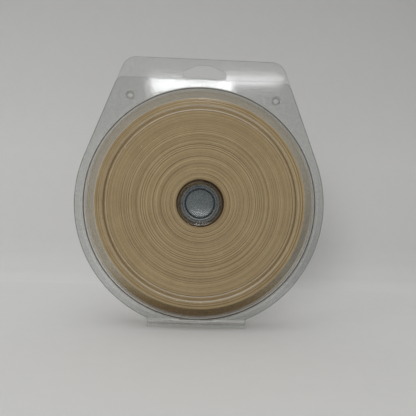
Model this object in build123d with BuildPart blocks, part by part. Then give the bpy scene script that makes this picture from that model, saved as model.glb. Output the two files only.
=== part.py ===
"""Coreless roll of tape in a clear, bottom-hinged clamshell pack with a hang tab.

Millimetres. +Z up, +X to the right of someone facing the pack, +Y from its front to its back.
The origin is the middle of the foot that the pack stands on. The two half shells meet at Y = 0.
"""

import os
from math import cos, radians, sin, tan

from build123d import *

# ---- driving dimensions ----------------------------------------------------------------------
HUB_Z = 89.0  # height of the roll's axis above the foot

TAPE_WIDTH = 24.0
TAPE_THICKNESS = 0.39
COIL_RADIUS = 74.0
BORE_RADIUS = 16.6
OUTER_END_ANGLE = -88.8  # where the tape's free end lies, from +X towards +Z
INNER_END_ANGLE = 84.0
TAIL_ARC = 10.8  # degrees of the last turn that peel off
TAIL_GAP = 0.05  # round the free end, where it lifts off the turn below

SHEET = 0.4  # thickness of the clear sheet
PARTING = 0.15  # from Y = 0 to each half's inner face
FACE_CLEARANCE = 0.3  # between the roll's side and the groove that holds it
GROOVE_OUTER, GROOVE_INNER = 69.4, 64.7  # radii of the groove's mouth
GROOVE_LEAN = 1.0  # how far each of its sides comes in on the way down
GROOVE_DEPTH = 1.0
WALL_ROOT = 84.0  # radius where the blister's wall would meet the flange
WALL_DRAFT = 25.0  # degrees
ROOT_RADIUS = 2.0  # bend between the flange and the wall
SHOULDER_RADIUS = 7.0
HUB_MOUTH, HUB_FLOOR = 16.1, 14.0  # radii of the hub that goes into the roll's bore

FLANGE_RADIUS = 90.9
SIDE_SLOPE = 20.9  # degrees of the flange's straight sides, from the vertical
TAB_TOP = HUB_Z + 105.7
TAB_CORNER = 11.0
FRONT_TOP = HUB_Z + 90.5
FRONT_CORNER = 7.0

HOLE_WIDTH = 32.0  # the hang hole: a low house shape for a display hook
HOLE_SIDE = 5.0
HOLE_HEIGHT = 9.6
HOLE_PEAK_WIDTH = 9.0
HOLE_PEAK_CORNER, HOLE_SIDE_CORNER = 4.0, 1.2
HOLE_BASE = FRONT_TOP + 0.8

FOOT_HALF_WIDTH = 35.5
FOOT_HALF_DEPTH = 3.8  # from Y = 0 to each fold line
FOLD_GAP = 0.12  # between the foot's sheet and each half's edge
WEB_HEIGHT = 0.1  # the thinned sheet that bends in that gap
WEB_THICKNESS = 0.1
RAMP_TOP = 3.6
RAMP_BOTTOM = 1.3
FOOT_CORNER = 2.0  # where the ring's lower edge meets the foot's sides

BUTTON_X, BUTTON_Z = 53.5, HUB_Z + 77.5
BUTTON_OPENING = 4.4

# ---- what follows from them ------------------------------------------------------------------
MID = PARTING + SHEET / 2  # middle of the sheet at the flange
FLOOR = TAPE_WIDTH / 2 + FACE_CLEARANCE + SHEET / 2  # middle of the sheet in the groove
PLATEAU = FLOOR + GROOVE_DEPTH
FOLD_Z = SHEET / 2
BLISTER_OPENING = WALL_ROOT + 2.0
FRONT, BACK = -1, 1

HUB_PLANE = Plane.XY.offset(HUB_Z)
HUB_AXIS = Axis((0, 0, HUB_Z), (0, 1, 0))
FOOT_PLANE = Plane.YZ.offset(-FOOT_HALF_WIDTH)


def around(angle, radius):
    """A point at that angle and distance from the roll's axis, in the plane of its turns."""
    return (radius * cos(radians(angle)), radius * sin(radians(angle)))


# ---- profiles of the clear sheet -------------------------------------------------------------
def sheet_profile(points, radii):
    """The cross-section of the sheet along a line through the middle of its thickness."""
    with BuildSketch() as profile:
        with BuildLine():
            FilletPolyline(*points, radius=radii)
        trace(line_width=SHEET)
    return profile.sketch


def blister_profile(side, boss_edge, boss_root, boss_depth):
    """The round tray for half of the roll: wall, face, holding groove and hollow hub."""
    points = [
        (WALL_ROOT + 3.0, MID),
        (WALL_ROOT, MID),
        (WALL_ROOT - (PLATEAU - MID) * tan(radians(WALL_DRAFT)), PLATEAU),  # shoulder
        (GROOVE_OUTER, PLATEAU),
        (GROOVE_OUTER - GROOVE_LEAN, FLOOR),  # groove against the roll's side
        (GROOVE_INNER + GROOVE_LEAN, FLOOR),
        (GROOVE_INNER, PLATEAU),
        (HUB_MOUTH, PLATEAU),
        (HUB_FLOOR, MID),
        (boss_edge, MID),  # the boss in it nests with the other half's
        (boss_root, boss_depth),
        (0.0, boss_depth),
    ]
    radii = [ROOT_RADIUS, SHOULDER_RADIUS, 0.6, 0.6, 0.6, 0.6, 1.0, 1.2, 0.3, 0.3]
    return sheet_profile([(radius, side * depth) for radius, depth in points], radii)


def button_profile(side, edge, root, depth):
    """One snap button. The front half's fit inside the back half's."""
    points = [(5.0, MID), (edge, MID), (root, depth), (0.0, depth)]
    return sheet_profile([(radius, side * y) for radius, y in points], [0.4, 0.4])


def foot_profile(side):
    """The flange's lower edge, pressed outwards so that the pack has a base to stand on."""
    points = [
        (MID, RAMP_TOP + 1.0),
        (MID, RAMP_TOP - 0.2),
        (FOOT_HALF_DEPTH, RAMP_BOTTOM),
        (FOOT_HALF_DEPTH, SHEET + FOLD_GAP),
    ]
    return sheet_profile([(side * y, z) for y, z in points], [0.4, 0.4])


def flange_outline(top, corner):
    """A ring round the blister, two straight sides tangent to it, and the foot's shoulders."""
    slope = radians(SIDE_SLOPE)
    side_x = FLANGE_RADIUS * cos(slope)
    side_z = HUB_Z + FLANGE_RADIUS * sin(slope)
    top_x = side_x - (top - side_z) * tan(slope)
    with BuildSketch() as outline:
        with Locations((0, HUB_Z)):
            Circle(FLANGE_RADIUS)
        with BuildLine():
            Polyline((-side_x, side_z), (side_x, side_z), (top_x, top), (-top_x, top), close=True)
        make_face()
        with Locations((0, RAMP_TOP)):
            Rectangle(2 * FOOT_HALF_WIDTH, HUB_Z, align=(Align.CENTER, Align.MIN))
            Rectangle(2 * HUB_Z, HUB_Z, align=(Align.CENTER, Align.MAX), mode=Mode.SUBTRACT)
        fillet(outline.vertices().group_by(Axis.Y)[-1], corner)
        fillet(outline.vertices().filter_by_position(Axis.Y, RAMP_TOP + 0.1, HUB_Z / 4), FOOT_CORNER)
        with Locations((0, HUB_Z)):
            Circle(BLISTER_OPENING, mode=Mode.SUBTRACT)
        with Locations((-BUTTON_X, BUTTON_Z), (BUTTON_X, BUTTON_Z)):
            Circle(BUTTON_OPENING, mode=Mode.SUBTRACT)
    return outline.sketch


def hang_hole_outline():
    """The hole for a display hook: a wide slot with a low, rounded peak."""
    half = HOLE_WIDTH / 2
    side_top = HOLE_BASE + HOLE_SIDE
    peak = HOLE_BASE + HOLE_HEIGHT
    with BuildSketch() as hole:
        with BuildLine():
            Polyline(
                (-half, HOLE_BASE),
                (half, HOLE_BASE),
                (half, side_top),
                (HOLE_PEAK_WIDTH / 2, peak),
                (-HOLE_PEAK_WIDTH / 2, peak),
                (-half, side_top),
                close=True,
            )
        make_face()
        fillet(hole.vertices().group_by(Axis.Y)[-1], HOLE_PEAK_CORNER)
        fillet(hole.vertices().filter_by(lambda corner: abs(corner.X) > half - 0.1), HOLE_SIDE_CORNER)
    return hole.sketch


# ---- the two halves of the pack --------------------------------------------------------------
with BuildPart() as back_shell:
    with BuildSketch(Plane.XZ.offset(-PARTING)):
        add(flange_outline(TAB_TOP, TAB_CORNER))
        add(hang_hole_outline(), mode=Mode.SUBTRACT)
    extrude(amount=-SHEET)
    with BuildSketch(HUB_PLANE):
        add(blister_profile(BACK, boss_edge=11.2, boss_root=10.4, boss_depth=1.95))
    revolve(axis=HUB_AXIS)
    for x in (-BUTTON_X, BUTTON_X):
        with BuildSketch(Plane(origin=(x, 0, BUTTON_Z))):
            add(button_profile(BACK, edge=3.8, root=3.4, depth=2.7))
        revolve(axis=Axis((x, 0, BUTTON_Z), (0, 1, 0)))
    with BuildSketch(FOOT_PLANE):
        add(foot_profile(BACK))
    extrude(amount=2 * FOOT_HALF_WIDTH)

with BuildPart() as front_shell:
    with BuildSketch(Plane.XZ.offset(PARTING)):
        add(flange_outline(FRONT_TOP, FRONT_CORNER))
    extrude(amount=SHEET)
    with BuildSketch(HUB_PLANE):
        add(blister_profile(FRONT, boss_edge=10.4, boss_root=9.6, boss_depth=-1.25))
    revolve(axis=HUB_AXIS)
    for x in (-BUTTON_X, BUTTON_X):
        with BuildSketch(Plane(origin=(x, 0, BUTTON_Z))):
            add(button_profile(FRONT, edge=3.0, root=2.6, depth=-2.0))
        revolve(axis=Axis((x, 0, BUTTON_Z), (0, 1, 0)))
    with BuildSketch(FOOT_PLANE):
        add(foot_profile(FRONT))
    extrude(amount=2 * FOOT_HALF_WIDTH)

# ---- the foot and the two living hinges ------------------------------------------------------
with BuildPart() as hinge_spine:
    with BuildSketch(FOOT_PLANE):
        with Locations((0, FOLD_Z)):
            SlotCenterToCenter(2 * FOOT_HALF_DEPTH, SHEET)
    extrude(amount=2 * FOOT_HALF_WIDTH)

WEB_SIZE = (2 * FOOT_HALF_WIDTH, WEB_THICKNESS, WEB_HEIGHT)
WEB_ALIGN = (Align.CENTER, Align.CENTER, Align.MIN)

with BuildPart() as front_fold_web:
    with Locations((0, -FOOT_HALF_DEPTH, SHEET)):
        Box(*WEB_SIZE, align=WEB_ALIGN)

with BuildPart() as back_fold_web:
    with Locations((0, FOOT_HALF_DEPTH, SHEET)):
        Box(*WEB_SIZE, align=WEB_ALIGN)


# ---- the roll --------------------------------------------------------------------------------
def spiral_turn(radius, start):
    """A face bounded by one turn of the tape, winding inwards from the start angle."""
    middle = around(start + 180, TAPE_THICKNESS / 2)
    low = around(start + 270, radius - TAPE_THICKNESS / 2)
    first, last = around(start, radius), around(start, radius - TAPE_THICKNESS)
    half = around(start + 180, radius)
    with BuildSketch() as turn:
        with BuildLine():
            ThreePointArc(first, around(start + 90, radius), half)
            ThreePointArc(half, (low[0] + middle[0], low[1] + middle[1]), last)
            Line(last, first)
        make_face()
    return turn.sketch


TAIL_ROOT_ANGLE = OUTER_END_ANGLE + TAIL_ARC
COIL_PLANE = Plane(origin=(0, TAPE_WIDTH / 2, HUB_Z), x_dir=(1, 0, 0), z_dir=(0, -1, 0))

with BuildPart() as tape_coil:
    with BuildSketch(COIL_PLANE):
        add(spiral_turn(COIL_RADIUS, TAIL_ROOT_ANGLE))
        add(spiral_turn(BORE_RADIUS + TAPE_THICKNESS, INNER_END_ANGLE), mode=Mode.SUBTRACT)
    extrude(amount=TAPE_WIDTH)

with BuildPart() as tape_tail:
    start = OUTER_END_ANGLE
    end = TAIL_ROOT_ANGLE - 0.04
    middle = (start + end) / 2
    inner = COIL_RADIUS - TAPE_THICKNESS + TAIL_GAP
    with BuildSketch(COIL_PLANE):
        with BuildLine():
            ThreePointArc(*[around(angle, COIL_RADIUS) for angle in (start, middle, end)])
            Line(around(end, COIL_RADIUS), around(end, inner))
            ThreePointArc(*[around(angle, inner) for angle in (end, middle, start)])
            Line(around(start, inner), around(start, COIL_RADIUS))
        make_face()
    extrude(amount=TAPE_WIDTH)

# ---- write -----------------------------------------------------------------------------------
PIECES = {
    "back_shell": back_shell,
    "front_shell": front_shell,
    "hinge_spine": hinge_spine,
    "front_fold_web": front_fold_web,
    "back_fold_web": back_fold_web,
    "tape_coil": tape_coil,
    "tape_tail": tape_tail,
}

os.makedirs("parts", exist_ok=True)
for name, piece in PIECES.items():
    piece.part.label = name
    export_step(piece.part, f"parts/{name}.step")
    print(name, "solids", len(piece.part.solids()), "volume", round(piece.part.volume, 1))
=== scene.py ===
import math

import bmesh
import bpy
import numpy as np
from mathutils import Matrix, Vector


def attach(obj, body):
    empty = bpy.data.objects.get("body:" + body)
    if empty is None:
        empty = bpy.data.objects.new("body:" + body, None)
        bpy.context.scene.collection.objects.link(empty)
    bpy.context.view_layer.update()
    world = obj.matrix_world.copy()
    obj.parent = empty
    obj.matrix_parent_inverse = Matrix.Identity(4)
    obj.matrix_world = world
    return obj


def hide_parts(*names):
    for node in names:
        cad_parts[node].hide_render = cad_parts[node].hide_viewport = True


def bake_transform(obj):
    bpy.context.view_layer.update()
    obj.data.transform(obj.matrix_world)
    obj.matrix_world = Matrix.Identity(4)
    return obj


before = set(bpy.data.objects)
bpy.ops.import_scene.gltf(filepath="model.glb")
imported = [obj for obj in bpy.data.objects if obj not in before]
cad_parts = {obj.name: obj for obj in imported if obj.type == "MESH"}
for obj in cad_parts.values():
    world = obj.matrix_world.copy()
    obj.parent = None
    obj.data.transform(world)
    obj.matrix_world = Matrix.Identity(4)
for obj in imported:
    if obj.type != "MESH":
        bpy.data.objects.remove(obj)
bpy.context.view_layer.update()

# ---- the object's own sizes, in metres and radians -------------------------------------------
HUB = 0.089  # height of the roll's axis
COIL_R, BORE_R, TAPE_T, TAPE_HALF = 0.074, 0.0166, 0.00039, 0.012
OUTER_END, TAIL_ROOT, INNER_END = math.radians(-88.8), math.radians(-78.0), math.radians(84.0)
TURNS = 146 + (INNER_END - TAIL_ROOT) / (2 * math.pi)
PITCH = (COIL_R - TAPE_T - BORE_R) / TURNS
TURN_GAP = 0.000012  # taken off each face of the wound tape, so that the turns stay apart
TAIL_GAP = 0.00004  # between the free end and the turn below
FOOT_HALF, FOLD_Y = 0.0355, 0.0038
BUTTON_X, BUTTON_UP = 0.0535, 0.0775  # the snap buttons, from the roll's axis
BEAD_R = 0.00014  # the beads along the sheet's cut edges

WHITE = (1.0, 1.0, 1.0, 1)


# ---- mesh helpers ----------------------------------------------------------------------------
def new_object(name, verts, faces, material, smooth=True):
    mesh = bpy.data.meshes.new(name)
    mesh.from_pydata([tuple(map(float, v)) for v in verts], [], [tuple(map(int, f)) for f in faces])
    mesh.validate()
    obj = bpy.data.objects.new(name, mesh)
    bpy.context.scene.collection.objects.link(obj)
    mesh.polygons.foreach_set("use_smooth", [smooth] * len(mesh.polygons))
    mesh.materials.append(material)
    return obj


def sweep(sections):
    """Vertices and faces of a closed-ended tube: sections is (steps, points, 3)."""
    steps, points, _ = sections.shape
    index = np.arange(steps * points).reshape(steps, points)
    following = np.roll(index, -1, axis=1)
    quads = np.stack([index[:-1], following[:-1], following[1:], index[1:]], axis=-1).reshape(-1, 4)
    faces = quads.tolist() + [index[0][::-1].tolist(), index[-1].tolist()]
    return sections.reshape(-1, 3), faces


# ---- shader helpers --------------------------------------------------------------------------
def material_tree(name):
    material = bpy.data.materials.new(name)
    material.use_nodes = True
    tree = material.node_tree
    tree.nodes.clear()
    return material, tree, tree.nodes.new("ShaderNodeOutputMaterial")


def node(tree, kind, inputs=None, **settings):
    item = tree.nodes.new("ShaderNode" + kind)
    for key, value in settings.items():
        setattr(item, key, value)
    for key, value in (inputs or {}).items():
        if isinstance(value, bpy.types.NodeSocket):
            tree.links.new(value, item.inputs[key])
        else:
            item.inputs[key].default_value = value
    return item


def maths(tree, operation, *values):
    return node(tree, "Math", dict(enumerate(values)), operation=operation).outputs[0]


def length(tree, first, second):
    squares = [maths(tree, "MULTIPLY", value, value) for value in (first, second)]
    return maths(tree, "SQRT", maths(tree, "ADD", *squares))


def ramp(tree, factor, stops):
    item = node(tree, "ValToRGB", {"Fac": factor})
    elements = item.color_ramp.elements
    while len(elements) < len(stops):
        elements.new(0.5)
    for element, (position, value) in zip(elements, stops):
        element.position = position
        element.color = (*value, 1) if isinstance(value, tuple) else (value, value, value, 1)
    return item.outputs["Color"]


def ramp_mm(tree, distance, span, stops):
    """A ramp along a distance in metres. The stops are in millimetres, none past the span."""
    factor = maths(tree, "MULTIPLY", distance, 1000 / span)
    return ramp(tree, factor, [(position / span, value) for position, value in stops])


def noise(tree, vector, scale, detail=3.0, roughness=0.5):
    inputs = {"Vector": vector, "Scale": scale, "Detail": detail, "Roughness": roughness}
    return node(tree, "TexNoise", inputs).outputs["Fac"]


def bump(tree, height, strength, distance, normal=None):
    inputs = {"Height": height, "Strength": strength, "Distance": distance}
    if normal is not None:
        inputs["Normal"] = normal
    return node(tree, "Bump", inputs).outputs[0]


def blend(tree, factor, first, second, how="MIX"):
    return node(tree, "Mix", {0: factor, 6: first, 7: second}, data_type="RGBA", blend_type=how).outputs[2]


def mix(tree, factor, first, second):
    return node(tree, "MixShader", {0: factor, 1: first.outputs[0], 2: second.outputs[0]})


def from_hub(tree, place):
    """A point's distance from the roll's axis, its height above that axis and its angle round it."""
    axes = node(tree, "SeparateXYZ", {0: place})
    across, up = axes.outputs[0], maths(tree, "SUBTRACT", axes.outputs[2], HUB)
    return length(tree, across, up), up, maths(tree, "ARCTAN2", up, across)


# ---- the clear sheet -------------------------------------------------------------------------
def sheet_normal(tree, place, radius, up, boss):
    """Faintly wavy all over. The boss in the hub is slightly dished and leans back."""
    bowl = maths(tree, "MULTIPLY", maths(tree, "MULTIPLY", radius, radius), 4.0)
    dish = maths(tree, "MULTIPLY", maths(tree, "MULTIPLY_ADD", up, -0.12, bowl), boss)
    normal = bump(tree, dish, 1.0, 1.0)
    normal = bump(tree, noise(tree, place, 17.0, 1.5), 0.10, 0.002, normal)
    return bump(tree, noise(tree, place, 160.0, 3.0), 0.04, 0.0004, normal)


def sheet_mirror(tree, normal, ahead, boss, hub_wall, foot):
    """One pass through the sheet mirrors as both of its faces do, and its far face mirrors nothing."""
    once = node(tree, "Fresnel", {"IOR": 1.5, "Normal": normal}).outputs[0]
    twice = maths(tree, "DIVIDE", maths(tree, "MULTIPLY", once, 2.0), maths(tree, "ADD", once, 1.0))
    # the mirror is weakened on the hub's wall, as painted shade for the dark bore that it faces; on the foot,
    # where a painted reflection of the table's light takes its place; and on the boss, to soften its
    # highlight
    share = maths(tree, "MULTIPLY_ADD", hub_wall, -0.65, 1.0)
    share = maths(tree, "MULTIPLY_ADD", foot, -0.6, share)
    share = maths(tree, "MULTIPLY_ADD", boss, -0.62, share)
    return maths(tree, "MULTIPLY", maths(tree, "MULTIPLY", twice, ahead), share)


def clear_sheet():
    """Thin clear PET: what is behind shows through, and along every bend a dark line of painted shade and a
    light line of painted highlight are drawn.
    """
    material, tree, out = material_tree("clear_pet")
    place = node(tree, "TexCoord").outputs["Object"]
    radius, up, _ = from_hub(tree, place)
    axes = node(tree, "SeparateXYZ", {0: place})
    across, height = maths(tree, "ABSOLUTE", axes.outputs[0]), axes.outputs[2]
    ahead = maths(tree, "SUBTRACT", 1.0, node(tree, "NewGeometry").outputs["Backfacing"])

    # where the sheet's regions are
    boss = ramp_mm(tree, radius, 25, [(9.5, 1.0), (10.5, 0.0)])
    hub_floor = ramp_mm(tree, radius, 25, [(13.5, 1.0), (14.25, 0.0)])
    hub_wall = ramp_mm(tree, radius, 25, [(13.75, 0.0), (14.25, 1.0), (16.375, 1.0), (17.0, 0.0)])
    ring_wall = ramp_mm(tree, radius, 100, [(73.7, 0.0), (74.2, 1.0), (83.0, 1.0), (84.5, 0.0)])
    foot = ramp_mm(tree, height, 10, [(4.2, 1.0), (5.5, 0.0)])
    # from 0 at the top of the ring or the hub to 1 at its bottom
    ring_down = maths(tree, "MULTIPLY_ADD", up, -6.0, 0.5)
    hub_down = maths(tree, "MULTIPLY_ADD", up, -30.0, 0.5)
    upright = maths(tree, "ABSOLUTE", maths(tree, "DIVIDE", up, maths(tree, "MAXIMUM", radius, 0.001)))
    ends = ramp(tree, upright, [(0.45, 0.0), (0.92, 1.0)])
    aside = maths(tree, "SUBTRACT", across, BUTTON_X)
    from_button = length(tree, aside, maths(tree, "SUBTRACT", up, BUTTON_UP))

    # the sheet's own tint, deeper where it is seen edge on
    facing = node(tree, "LayerWeight", {"Blend": 0.5}).outputs["Facing"]
    tint = ramp(tree, facing, [(0.0, (0.938, 0.941, 0.937)), (0.5, (0.93, 0.93, 0.92)),
                               (0.8, (0.86, 0.86, 0.85)), (1.0, (0.60, 0.61, 0.60))])
    # painted reflection: the steep ring wall is tinted with the tape's colour, most of all at the bottom,
    # where painted shade deepens it
    low = ramp(tree, ring_down, [(0.1, 0.22), (0.78, 0.28), (0.95, 1.0)])
    painted_tape_reflection = blend(tree, maths(tree, "MULTIPLY", ring_wall, low), WHITE, (0.765, 0.685, 0.535, 1))
    # painted shade: the hub's wall is darkened brown for the shaded bore behind it, and its floor, in the
    # roll's shade, is darkened bluish grey
    shade = ramp_mm(tree, radius, 25,
                    [(0.0, (0.80, 0.825, 0.835)), (13.25, (0.78, 0.805, 0.82)), (14.25, (0.76, 0.69, 0.58)),
                     (16.375, (0.76, 0.69, 0.58)), (17.0, 1)])
    # painted light and shade: the hub's floor is darker at the top and lighter towards the bottom
    hub_painted_light = ramp(tree, hub_down, [(0.1, 0.92), (0.4, 0.985), (0.6, 0.985), (0.9, 1.0)])
    shade = blend(tree, hub_floor, shade, hub_painted_light, "MULTIPLY")
    mottle = ramp(tree, noise(tree, place, 330.0, 4.0, 0.65), [(0.35, 0.977), (0.65, 1.0)])

    # painted shade: dark lines along the bends of the boss, hub floor, blister root, groove and snap buttons
    grey, brown, tan = (0.55, 0.58, 0.60), (0.62, 0.57, 0.50), (0.84, 0.82, 0.79)
    dark = ramp_mm(tree, radius, 100,
                   [(10.0, 1), (10.5, grey), (10.9, grey), (11.4, 1), (12.1, 1), (12.5, 0.8), (12.9, 1),
                    (83.45, 1), (83.85, brown), (84.35, brown), (84.75, 1)])
    groove_painted_shade = ramp_mm(tree, radius, 100, [(66.5, 1), (67.0, tan), (67.5, tan), (68.0, 1)])
    # the groove's painted line is shade at the sides and highlight at the top and the bottom, where light
    # falls on it
    dark = blend(tree, maths(tree, "MULTIPLY_ADD", ends, -0.8, 1.0), dark, groove_painted_shade, "MULTIPLY")
    # painted shade: a dark ring round each snap button
    button_painted_shade = ramp_mm(tree, from_button, 10, [(1.7, 1.0), (2.1, 0.89), (2.8, 0.89), (3.2, 1.0)])

    # the painted reflection and painted shade above are multiplied into the sheet's tint, with its own uneven
    # tone
    for factor in (painted_tape_reflection, shade, dark, button_painted_shade, mottle):
        tint = blend(tree, 1.0, tint, factor, "MULTIPLY")
    # the foot, near the table, is tinted lighter
    tint = blend(tree, foot, tint, (0.965, 0.965, 0.96, 1))

    # painted highlights: light lines beside them, brighter towards the bottom, as a share of milky sheet
    light = ramp_mm(tree, radius, 100,
                    [(13.3, 0), (13.7, 0.2), (14.1, 0), (81.9, 0), (82.3, 0.7), (82.65, 0.7), (83.0, 0),
                     (85.7, 0), (86.1, 0.3), (86.5, 0)])
    light = maths(tree, "MULTIPLY", light, ramp(tree, ring_down, [(0.1, 0.5), (0.5, 0.6), (0.75, 1.0)]))
    # a painted highlight: a crescent low on the hub's floor
    crescent = ramp_mm(tree, radius, 100, [(11.1, 0), (11.5, 0.22), (11.9, 0.22), (12.3, 0)])
    light = maths(tree, "MULTIPLY_ADD", crescent, ramp(tree, hub_down, [(0.55, 0.0), (0.8, 1.0)]), light)
    # painted highlights beside the groove, strongest at its top and bottom
    groove_painted_highlight = ramp_mm(tree, radius, 100,
                           [(65.0, 0), (65.4, 1.0), (65.8, 0), (68.3, 0), (68.7, 0.8), (69.1, 0)])
    light = maths(tree, "MULTIPLY_ADD", groove_painted_highlight, maths(tree, "MULTIPLY_ADD", ends, 0.35, 0.2), light)
    button_painted_highlight = ramp_mm(tree, from_button, 10,
                           [(0.6, 0.3), (1.3, 0.0), (3.1, 0.0), (3.5, 0.2), (3.9, 0.0)])
    light = maths(tree, "MULTIPLY", maths(tree, "ADD", light, button_painted_highlight), ahead)
    # scuffs make the sheet faintly milky; the painted highlights join them, and so does the foot's milky
    # share, a painted reflection of the table's light
    scuff = ramp(tree, noise(tree, place, 420.0, 6.0, 0.7), [(0.45, 0.0), (0.8, 1.0)])
    haze_and_painted_light = maths(tree, "MULTIPLY_ADD", scuff, 0.024, 0.004)
    haze_and_painted_light = maths(tree, "ADD", haze_and_painted_light, maths(tree, "MULTIPLY_ADD", foot, 0.12, light))

    normal = sheet_normal(tree, place, radius, up, boss)
    roughness = maths(tree, "MULTIPLY_ADD", boss, 0.05, 0.085)
    see = node(tree, "BsdfTransparent", {"Color": tint})
    shine = node(tree, "BsdfGlossy", {"Color": WHITE, "Roughness": roughness, "Normal": normal})
    milk = node(tree, "BsdfDiffuse", {"Color": (0.96, 0.97, 0.95, 1)})
    clear = mix(tree, sheet_mirror(tree, normal, ahead, boss, hub_wall, foot), see, shine)
    tree.links.new(mix(tree, haze_and_painted_light, clear, milk).outputs[0], out.inputs["Surface"])
    return material


def cut_edge(name, base, see_through):
    """The cut edge of the clear sheet, in a painted colour: a light one is a painted glow for the light that
    travels inside the sheet and comes out there, and a dark one is painted shade.
    """
    material, tree, out = material_tree(name)
    uneven = noise(tree, node(tree, "TexCoord").outputs["Object"], 90.0, 4.0, 0.6)
    colour = ramp(tree, uneven, [(0.3, tuple(c * 0.7 for c in base)), (0.7, base)])
    see = node(tree, "BsdfTransparent", {"Color": (0.93, 0.94, 0.93, 1)})
    solid = node(tree, "BsdfPrincipled", {"Base Color": colour, "Roughness": 0.18})
    share = maths(tree, "MULTIPLY_ADD", uneven, -0.3, see_through + 0.15)
    tree.links.new(mix(tree, share, solid, see).outputs[0], out.inputs["Surface"])
    return material


# ---- the tape's paper ------------------------------------------------------------------------
def tape_paper():
    """Edges of wound tan tape: a fine line for every turn, some turns lighter or darker, and fibre."""
    material, tree, out = material_tree("tape_paper")
    place = node(tree, "TexCoord").outputs["Object"]
    radius, _, angle = from_hub(tree, place)
    # counts the turns along the spiral, so that its whole part stays the same along one turn
    turn = maths(tree, "DIVIDE", maths(tree, "MULTIPLY_ADD", angle, PITCH / (2 * math.pi), radius), PITCH)
    along = maths(tree, "MULTIPLY_ADD", angle, -1 / (2 * math.pi), maths(tree, "FLOOR", turn))
    lane = node(tree, "CombineXYZ", {0: along, 1: 0.0, 2: 0.0}).outputs[0]
    per_turn = noise(tree, lane, 1.3, 1.0, 0.6)
    pairs = noise(tree, lane, 0.55, 1.0, 0.5)
    groups = noise(tree, lane, 0.09, 3.0, 0.6)
    fibre = noise(tree, place, 2600.0, 4.0, 0.7)
    blotch = noise(tree, place, 60.0, 3.0)

    lines = maths(tree, "ADD", maths(tree, "MULTIPLY", per_turn, 0.65), maths(tree, "MULTIPLY", pairs, 1.45))
    # the tighter turns near the bore stand out more from one another
    inner = ramp(tree, maths(tree, "DIVIDE", radius, COIL_R), [(0.45, 1.0), (0.85, 0.78)])
    lines = maths(tree, "MULTIPLY", maths(tree, "SUBTRACT", lines, 1.05), inner)
    mixed = maths(tree, "ADD", maths(tree, "MULTIPLY_ADD", groups, 0.2, 0.4), lines)
    mixed = maths(tree, "ADD", mixed, maths(tree, "MULTIPLY_ADD", fibre, 0.22, -0.11))
    mixed = maths(tree, "ADD", mixed, maths(tree, "MULTIPLY_ADD", blotch, 0.14, -0.07))
    colour = ramp(tree, mixed, [(0.30, (0.295, 0.195, 0.088)), (0.5, (0.515, 0.376, 0.189)),
                                (0.70, (0.69, 0.53, 0.295))])
    from_middle = maths(tree, "ABSOLUTE", maths(tree, "SUBTRACT", maths(tree, "FRACT", turn), 0.5))
    between = ramp(tree, from_middle, [(0.36, 1.0), (0.5, 0.72)])

    paper = node(tree, "BsdfPrincipled", {
        "Base Color": blend(tree, 1.0, colour, between, "MULTIPLY"),
        "Roughness": maths(tree, "MULTIPLY_ADD", fibre, 0.25, 0.62),
        "Normal": bump(tree, maths(tree, "MULTIPLY_ADD", per_turn, 2.0, fibre), 0.4, 0.0001),
        "Specular IOR Level": 0.3})
    tree.links.new(paper.outputs[0], out.inputs["Surface"])
    return material


CLEAR = clear_sheet()
PAPER = tape_paper()
for name in ("back_shell", "front_shell", "hinge_spine"):
    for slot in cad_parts[name].material_slots:
        slot.link = "OBJECT"
        slot.material = CLEAR


# ---- cut edges of the sheet ------------------------------------------------------------------
def sharp_loops(obj):
    """Closed runs of points along the edges where the sheet's faces meet its cut edge."""
    bm = bmesh.new()
    bm.from_mesh(obj.data)
    bmesh.ops.remove_doubles(bm, verts=bm.verts, dist=2e-6)
    sharp = [e for e in bm.edges if len(e.link_faces) == 2 and e.calc_face_angle(0) > math.radians(55)]
    joined = {}
    for edge in sharp:
        for a, b in (edge.verts, reversed(edge.verts)):
            joined.setdefault(a.index, []).append(b.index)
    where = {v.index: np.array(v.co) for v in bm.verts}
    bm.free()
    loops, seen = [], set()
    for start in sorted(joined):
        if start in seen or len(joined[start]) != 2:
            continue
        run, here = [start], start
        seen.add(start)
        while True:
            onward = [n for n in joined[here] if n not in seen]
            if not onward:
                break
            here = onward[0]
            seen.add(here)
            run.append(here)
        if len(run) > 8:
            loops.append(np.array([where[i] for i in run]))
    return loops


def edge_beads(name, loops, material, body):
    verts, faces, sides = [], [], 6
    for run in loops:
        # moved onto the sheet: in from its outline, out from a hole
        inward = run.mean(axis=0) - run
        inward[:, 1] = 0
        inward /= np.linalg.norm(inward, axis=1, keepdims=True)
        is_outline = np.ptp(run[:, 0]) > 2 * COIL_R
        run = run + inward * (BEAD_R if is_outline else -BEAD_R)
        ahead = np.roll(run, -1, axis=0) - np.roll(run, 1, axis=0)
        ahead /= np.maximum(np.linalg.norm(ahead, axis=1, keepdims=True), 1e-9)
        depth = np.tile([0.0, 1.0, 0.0], (len(run), 1))
        depth[np.abs(ahead[:, 1]) > 0.7] = [1.0, 0.0, 0.0]
        side = np.cross(ahead, depth)
        side /= np.linalg.norm(side, axis=1, keepdims=True)
        depth = np.cross(side, ahead)
        first, count = len(verts), len(run)
        for k in range(sides):
            turn = 2 * math.pi * k / sides
            verts.extend(run + BEAD_R * (math.cos(turn) * side + math.sin(turn) * depth))
        for k in range(sides):
            this, other = first + k * count, first + (k + 1) % sides * count
            for i in range(count):
                j = (i + 1) % count
                faces.append((this + i, this + j, other + j, other + i))
    obj = new_object(name, verts, faces, material)
    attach(obj, body)


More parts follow.
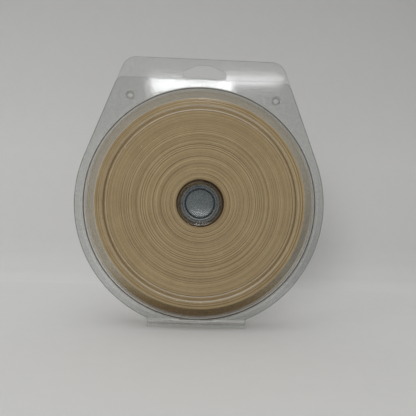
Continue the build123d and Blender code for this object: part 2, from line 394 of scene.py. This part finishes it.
# painted light along the cut edges: a light bead on the sheet's near edges, and a dark bead of painted shade
# on its far edges
PAINTED_EDGE_LIGHT = cut_edge("cut_edge_painted_light", (0.86, 0.90, 0.88), 0.45)
PAINTED_EDGE_SHADE = cut_edge("cut_edge_painted_shade", (0.20, 0.21, 0.20), 0.40)
for shell, body, middle in (("front_shell", "front_half", -0.00035), ("back_shell", "back_half", 0.00035)):
    loops = sharp_loops(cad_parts[shell])
    near = [run for run in loops if np.median(run[:, 1]) < middle]
    far = [run for run in loops if np.median(run[:, 1]) >= middle]
    edge_beads(shell + "_edge_front", near, PAINTED_EDGE_LIGHT, body)
    edge_beads(shell + "_edge_back", far, PAINTED_EDGE_SHADE, body)


# ---- the wound tape --------------------------------------------------------------------------
def tape_sections(theta, outer, inner, sideways):
    """Cross-sections of tape round the roll's axis, one for each angle."""
    corners = [(inner, -TAPE_HALF), (outer, -TAPE_HALF), (outer, TAPE_HALF), (inner, TAPE_HALF)]
    points = [np.stack([radius * np.cos(theta), y + sideways, HUB + radius * np.sin(theta)], axis=-1)
              for radius, y in corners]
    return np.stack(points, axis=1)


rng = np.random.default_rng(7)
STEPS_PER_TURN = 96
psi = np.linspace(0, TURNS * 2 * math.pi, int(TURNS * STEPS_PER_TURN) + 1)
theta = TAIL_ROOT + psi
turn_number = psi / (2 * math.pi)
# each turn sits a little to one side of its neighbours
knots = np.arange(0, math.ceil(TURNS) + 2)
shift = np.cumsum(rng.normal(0, 0.00002, len(knots)))
shift = shift - np.linspace(shift[0], shift[-1], len(knots)) + rng.normal(0, 0.000035, len(knots))
shift = np.clip(shift, -0.00016, 0.00016)
sideways = np.interp(turn_number, knots, shift) + 0.00002 * np.sin(3 * theta + turn_number)
outer = COIL_R - PITCH * psi / (2 * math.pi)
verts, faces = sweep(tape_sections(theta, outer - TURN_GAP, outer - TAPE_T + TURN_GAP, sideways))
coil = new_object("wound_tape", verts, faces, PAPER, smooth=False)
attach(coil, "roll")
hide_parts("tape_coil")

# the free end: it lies on the last turn and lifts from its root
TAIL_STEPS = 40
theta = np.linspace(TAIL_ROOT, OUTER_END, TAIL_STEPS)
lift = np.linspace(0, 1, TAIL_STEPS) ** 2 * 0.00006
sections = tape_sections(theta, COIL_R + lift, COIL_R - TAPE_T + TAIL_GAP + lift, np.zeros(TAIL_STEPS))
verts, faces = sweep(sections[:, ::-1])
tail = new_object("tape_free_end", verts, faces, PAPER, smooth=False)
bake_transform(tail)
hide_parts("tape_tail")

# ---- the living hinges -----------------------------------------------------------------------
WEB_BOTTOM, WEB_TOP, WEB_STEPS = 0.00030, 0.00062, 9
WAIST, WAIST_SPREAD = 0.00005, 0.00008  # half thickness in the middle, and what the ends add
for name, y, half_pack in (("front_fold_web", -FOLD_Y, "front_half"), ("back_fold_web", FOLD_Y, "back_half")):
    rows = []
    for t in np.linspace(-1, 1, WEB_STEPS):
        height = WEB_BOTTOM + (WEB_TOP - WEB_BOTTOM) * (t + 1) / 2
        half = WAIST + WAIST_SPREAD * t ** 2
        rows.append([(-FOOT_HALF, y - half, height), (FOOT_HALF, y - half, height),
                     (FOOT_HALF, y + half, height), (-FOOT_HALF, y + half, height)])
    verts, faces = sweep(np.array(rows))
    web = new_object(name + "_bend", verts, faces, CLEAR)
    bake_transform(web)
    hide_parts(name)

# ---- the stage -------------------------------------------------------------------------------
WALL_Y, COVE = 0.205, 0.05  # the table's sheet curves up into the wall behind
JOIN_Y = 0.0  # where the backdrop meets the table
TABLE_FRONT, WALL_TOP, STAGE_HALF = -2.0, 2.2, 2


def stage_material():
    """Pale, slightly uneven and darker up the wall, where less light falls."""
    material, tree, out = material_tree("pale_backdrop")
    place = node(tree, "TexCoord").outputs["Object"]
    grain = noise(tree, place, 90.0, 5.0, 0.6)
    broad = noise(tree, place, 2.2, 2.0)
    value = maths(tree, "MULTIPLY_ADD", grain, 0.4, maths(tree, "MULTIPLY", broad, 0.6))
    colour = ramp(tree, value, [(0.3, (0.825, 0.825, 0.82)), (0.7, (0.86, 0.86, 0.855))])
    height = node(tree, "SeparateXYZ", {0: place}).outputs[2]
    fall = ramp_mm(tree, height, 500, [(0, 1.0), (2, 0.92), (10, 0.82), (30, 0.765), (55, 0.78),
                                       (150, 0.78), (360, 0.585)])
    surface = node(tree, "BsdfPrincipled", {
        "Base Color": blend(tree, 1.0, colour, fall, "MULTIPLY"), "Roughness": 0.7,
        "Normal": bump(tree, grain, 0.15, 0.0006), "Specular IOR Level": 0.25})
    # seen from behind or below it isn't there, so that the pack's other sides can be looked at
    nothing = node(tree, "BsdfTransparent", {"Color": WHITE})
    one_sided = mix(tree, node(tree, "NewGeometry").outputs["Backfacing"], surface, nothing)
    tree.links.new(one_sided.outputs[0], out.inputs["Surface"])
    return material


def stage_part(name, track, material):
    """A run of (y, z) points, carried from side to side."""
    verts = [(x, y, z) for y, z in track for x in (-STAGE_HALF, STAGE_HALF)]
    faces = [(2 * i, 2 * i + 1, 2 * i + 3, 2 * i + 2) for i in range(len(track) - 1)]
    part = new_object(name, verts, faces, material)
    return part


PALE = stage_material()
cove = [(WALL_Y - COVE + COVE * math.sin(t), COVE - COVE * math.cos(t))
        for t in np.linspace(0, math.pi / 2, 17)]
stage_part("backdrop", [(JOIN_Y, 0.0), *cove, (WALL_Y, WALL_TOP)], PALE)
table = stage_part("table", [(TABLE_FRONT, 0.0), (JOIN_Y, 0.0)], PALE)
# the sheet's front doesn't mirror the table before it, as in the photograph
table.visible_glossy = False


# ---- light -----------------------------------------------------------------------------------
def area_light(name, position, target, size, power, colour, mirrored):
    data = bpy.data.lights.new(name, "AREA")
    data.shape = "RECTANGLE"
    data.size, data.size_y = size
    data.energy = power
    data.color = colour
    lamp = bpy.data.objects.new(name, data)
    bpy.context.scene.collection.objects.link(lamp)
    lamp.location = position
    lamp.rotation_euler = (Vector(target) - Vector(position)).to_track_quat("-Z", "Y").to_euler()
    lamp.visible_glossy = mirrored


PACK = (0, 0, 0.09)
DAYLIGHT = (0.97, 0.98, 1.0)
area_light("key", (-0.42, -1.32, 0.42), PACK, (0.50, 0.40), 7.85, (1, 0.99, 0.975), False)
area_light("ceiling", (-0.1, -0.3, 1.4), (0, 0, 0), (1.5, 1.5), 7.7, (1, 1, 0.99), False)
# these two are there for the bright strips that the flange and the tab mirror
area_light("window", (-0.028, -1.307, 0.5605), PACK, (0.31, 0.06), 0.42, DAYLIGHT, True)
area_light("window_slit", (0.19, -1.307, 0.602), PACK, (0.24, 0.018), 0.14, DAYLIGHT, True)

world = bpy.data.worlds.new("studio")
bpy.context.scene.world = world
world.use_nodes = True
background = world.node_tree.nodes["Background"]
background.inputs["Color"].default_value = WHITE
background.inputs["Strength"].default_value = 0.17

# ---- camera ----------------------------------------------------------------------------------
CAMERA_AT = (-0.00413, -0.30684, 0.08242)
yaw, pitch, roll = math.radians(1.883), math.radians(0.663), math.radians(1.949)
data = bpy.data.cameras.new("view")
data.sensor_width = 36.0
data.lens = 36.47
data.clip_start = 0.01
camera = bpy.data.objects.new("view", data)
bpy.context.scene.collection.objects.link(camera)
forward = Vector((math.sin(yaw) * math.cos(pitch), math.cos(yaw) * math.cos(pitch), math.sin(pitch)))
level = Vector((math.cos(yaw), -math.sin(yaw), 0))
upward = level.cross(forward)
right = level * math.cos(roll) + upward * math.sin(roll)
above = upward * math.cos(roll) - level * math.sin(roll)
turned = Matrix((right, above, -forward)).transposed().to_4x4()
camera.matrix_world = Matrix.Translation(CAMERA_AT) @ turned
bpy.context.scene.camera = camera
bpy.context.scene.view_settings.view_transform = "Standard"
bpy.context.scene.cycles.transparent_max_bounces = 24

bpy.context.view_layer.update()
